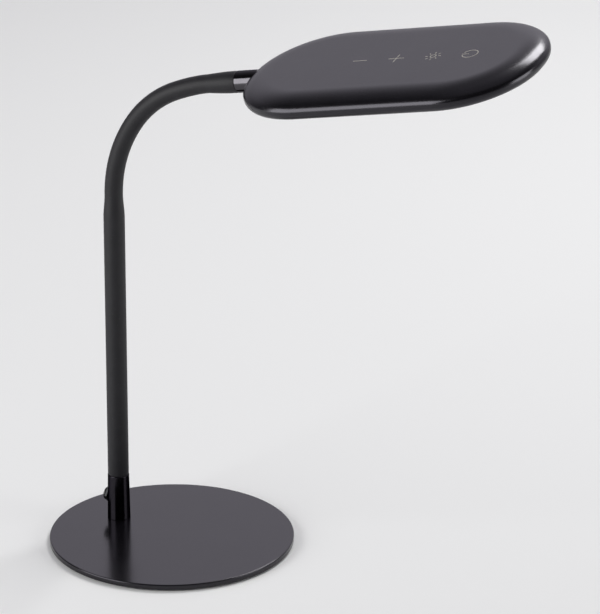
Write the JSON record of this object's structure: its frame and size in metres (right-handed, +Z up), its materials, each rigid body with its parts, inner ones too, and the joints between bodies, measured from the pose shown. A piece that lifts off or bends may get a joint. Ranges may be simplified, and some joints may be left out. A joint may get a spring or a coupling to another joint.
{
  "type": "gooseneck desk lamp",
  "caption": "Desk lamp with a round weighted base, a flexible sleeved neck and a flat rounded head with touch keys on top and a lit panel below.",
  "frame": {"origin": "centre of the round base, on the surface the lamp stands on", "axes": "+Z up; +X is the way the neck bends and the head points; +Y to the left of that"},
  "size_m": [0.3761, 0.18, 0.4196],
  "materials": {
    "base_steel": "satin black powder coat",
    "pad_rubber": "matte non-slip foam rubber",
    "screw_steel": "zinc-plated steel",
    "collar_metal": "satin black coated turned metal",
    "jack_plastic": "black moulded plastic",
    "jack_metal": "black-plated steel",
    "contact_brass": "bare contact metal",
    "tube_steel": "bare drawn steel",
    "sleeve_silicone": "matte black silicone",
    "gooseneck_steel": "wound steel",
    "lead_pvc": "black insulated lead",
    "ferrule_metal": "polished black plated metal",
    "shell_plastic": "satin-gloss black plastic",
    "cover_plastic": "satin black plastic",
    "diffuser_opal": "opal diffusing plastic",
    "guide_acrylic": "clear acrylic",
    "reflector_film": "white film",
    "plate_aluminium": "rolled aluminium",
    "board_laminate": "green circuit laminate",
    "strip_laminate": "white circuit laminate",
    "led_phosphor": "yellow phosphor",
    "chip_plastic": "black moulded package",
    "icon_print": "pale warm grey print"
  },
  "bodies": {
    "stand": {"base_plate": "base_steel", "base_pad": "pad_rubber", "base_screw": "screw_steel", "stem_collar": "collar_metal", "collar_grub_screw": "jack_metal", "dc_jack_barrel": "jack_plastic", "dc_jack_pin": "contact_brass", "dc_jack_nut": "jack_metal", "dc_jack_terminals": "contact_brass", "stem_tube": "tube_steel", "stem_sleeve": "sleeve_silicone", "stem_core": "gooseneck_steel", "stem_lead": "lead_pvc"},
    "neck_1": {"neck_sleeve_1": "sleeve_silicone", "neck_core_1": "gooseneck_steel", "neck_lead_1": "lead_pvc"},
    "neck_2": {"neck_sleeve_2": "sleeve_silicone", "neck_core_2": "gooseneck_steel", "neck_lead_2": "lead_pvc"},
    "neck_3": {"neck_sleeve_3": "sleeve_silicone", "neck_core_3": "gooseneck_steel", "neck_lead_3": "lead_pvc"},
    "neck_4": {"neck_sleeve_4": "sleeve_silicone", "neck_core_4": "gooseneck_steel", "neck_lead_4": "lead_pvc"},
    "neck_5": {"neck_sleeve_5": "sleeve_silicone", "neck_core_5": "gooseneck_steel", "neck_lead_5": "lead_pvc"},
    "neck_6": {"neck_sleeve_6": "sleeve_silicone", "neck_core_6": "gooseneck_steel", "neck_lead_6": "lead_pvc"},
    "neck_7": {"neck_sleeve_7": "sleeve_silicone", "neck_core_7": "gooseneck_steel", "neck_lead_7": "lead_pvc", "head_ferrule": "ferrule_metal", "swivel_washer": "screw_steel", "swivel_nut": "screw_steel"},
    "head": {"head_top_shell": "shell_plastic", "head_bottom_cover": "cover_plastic", "diffuser": "diffuser_opal", "light_guide": "guide_acrylic", "reflector": "reflector_film", "back_plate": "plate_aluminium", "led_strips": "strip_laminate", "leds": "led_phosphor", "control_board": "board_laminate", "board_parts": "chip_plastic", "board_screws": "screw_steel", "touch_springs": "screw_steel", "head_lead": "lead_pvc", "head_screws": "screw_steel", "icon_power": "icon_print", "icon_mode": "icon_print", "icon_plus": "icon_print", "icon_minus": "icon_print"}
  },
  "joints": [
    {"name": "neck_bend_lower", "type": "hinge", "parent": "stand", "child": "neck_1", "pos_m": [-0.0497, 0.0092, 0.2593], "axis": [0, 1, 0], "range_deg": [-18, 18]},
    {"name": "neck_sway", "type": "hinge", "parent": "neck_1", "child": "neck_2", "pos_m": [-0.04749, 0.0092, 0.28055], "axis": [-0.9786, 0, 0.2059], "range_deg": [-15, 15]},
    {"name": "neck_bend_lower_2", "type": "hinge", "parent": "neck_2", "child": "neck_3", "pos_m": [-0.04094, 0.0092, 0.30088], "axis": [0, 1, 0], "range_deg": [-18, 18]},
    {"name": "neck_sway_2", "type": "hinge", "parent": "neck_3", "child": "neck_4", "pos_m": [-0.03034, 0.0092, 0.31943], "axis": [-0.8118, 0, 0.5839], "range_deg": [-15, 15]},
    {"name": "neck_bend_upper", "type": "hinge", "parent": "neck_4", "child": "neck_5", "pos_m": [-0.01574, 0.0092, 0.33499], "axis": [0, 1, 0], "range_deg": [-20, 20]},
    {"name": "neck_sway_3", "type": "hinge", "parent": "neck_5", "child": "neck_6", "pos_m": [0.00236, 0.0092, 0.34629], "axis": [-0.4149, 0, 0.9099], "range_deg": [-15, 15]},
    {"name": "neck_bend_upper_2", "type": "hinge", "parent": "neck_6", "child": "neck_7", "pos_m": [0.02234, 0.0092, 0.35392], "axis": [0, 1, 0], "range_deg": [-20, 20]},
    {"name": "head_swivel", "type": "hinge", "parent": "neck_7", "child": "head", "pos_m": [0.06454, 0.0092, 0.36314], "axis": [0.9786, 0, 0.2059], "range_deg": [-53.5, 36.5]}
  ],
  "couplings": [
    {"joint": "neck_bend_lower_2", "follows": "neck_bend_lower", "ratio": 1},
    {"joint": "neck_sway_2", "follows": "neck_sway", "ratio": 1},
    {"joint": "neck_sway_3", "follows": "neck_sway", "ratio": 1},
    {"joint": "neck_bend_upper_2", "follows": "neck_bend_upper", "ratio": 1}
  ]
}
